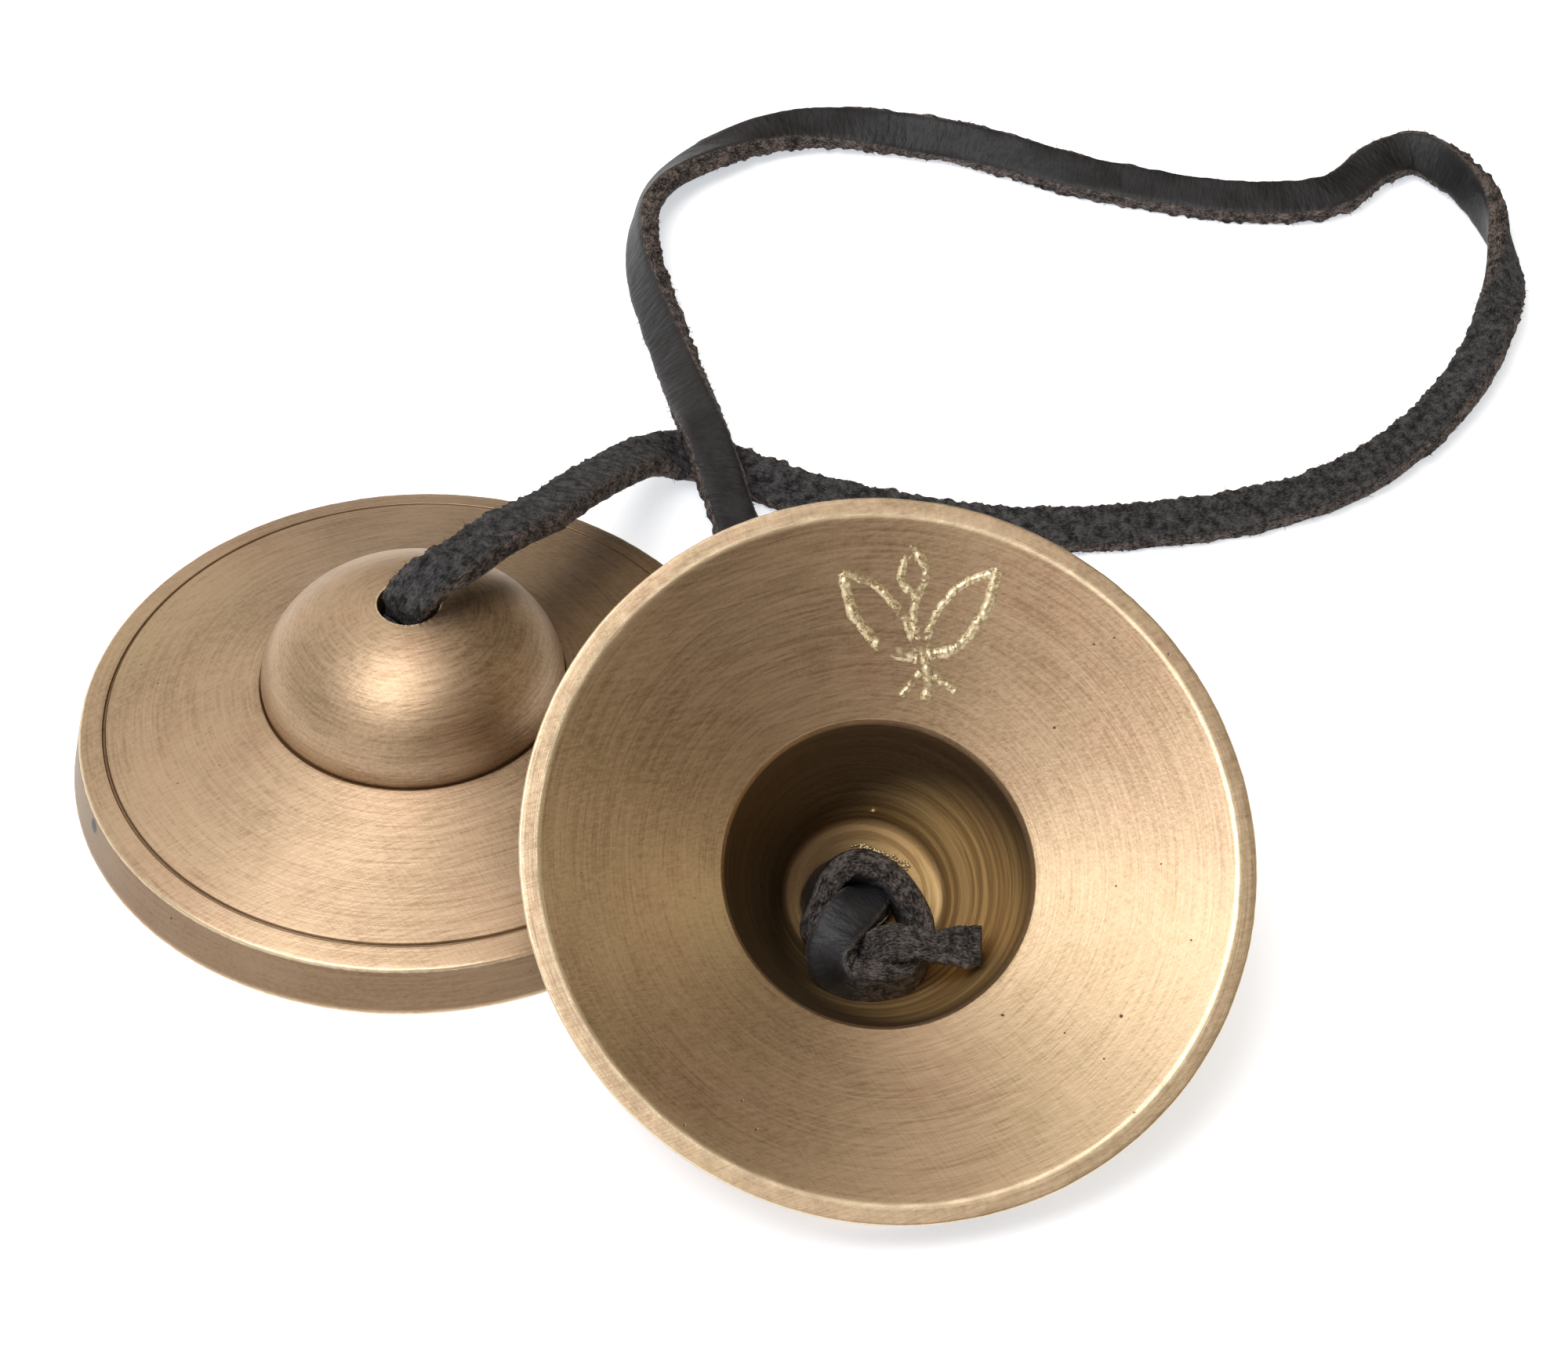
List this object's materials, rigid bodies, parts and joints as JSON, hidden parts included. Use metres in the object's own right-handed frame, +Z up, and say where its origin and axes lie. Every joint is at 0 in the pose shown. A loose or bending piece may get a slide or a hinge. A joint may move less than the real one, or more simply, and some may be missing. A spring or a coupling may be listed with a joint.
{
  "type": "hand cymbals",
  "caption": "Thick domed bronze hand cymbals joined by a flat leather lace that runs through each dome and is knotted inside, one rim down and one lying bowl up.",
  "frame": {"origin": "on the floor under the middle of the box round the two cymbals", "axes": "+X from the rear cymbal towards the front one, +Y away from the front cymbal's low side, +Z up"},
  "size_m": [0.1558, 0.1674, 0.0391],
  "materials": {
    "bronze": "turned and brushed bronze with worn bright edges and brown tarnish",
    "black_leather": "smooth black grain with brown-grey cut edges"
  },
  "bodies": {
    "lace": {"lace": "black_leather", "rear_knot": "black_leather"},
    "rear_cymbal": {"rear_cymbal": "bronze"},
    "front_knot": {"front_knot": "black_leather"},
    "front_cymbal": {"front_cymbal": "bronze"}
  },
  "joints": [
    {"name": "rear_cymbal_turn", "type": "hinge", "parent": "lace", "child": "rear_cymbal", "pos_m": [-0.0238, 0.0138, 0], "axis": [0, 0, 1], "continuous": true},
    {"name": "front_cymbal_tilt", "type": "hinge", "parent": "lace", "child": "front_knot", "pos_m": [0.02145, -0.00765, 0.00292], "axis": [-0.9711, -0.2385, 0], "range_deg": [0, 20]},
    {"name": "front_cymbal_turn", "type": "hinge", "parent": "front_knot", "child": "front_cymbal", "pos_m": [0.02404, -0.0182, 0.02174], "axis": [0.1193, -0.4856, 0.866], "continuous": true}
  ]
}
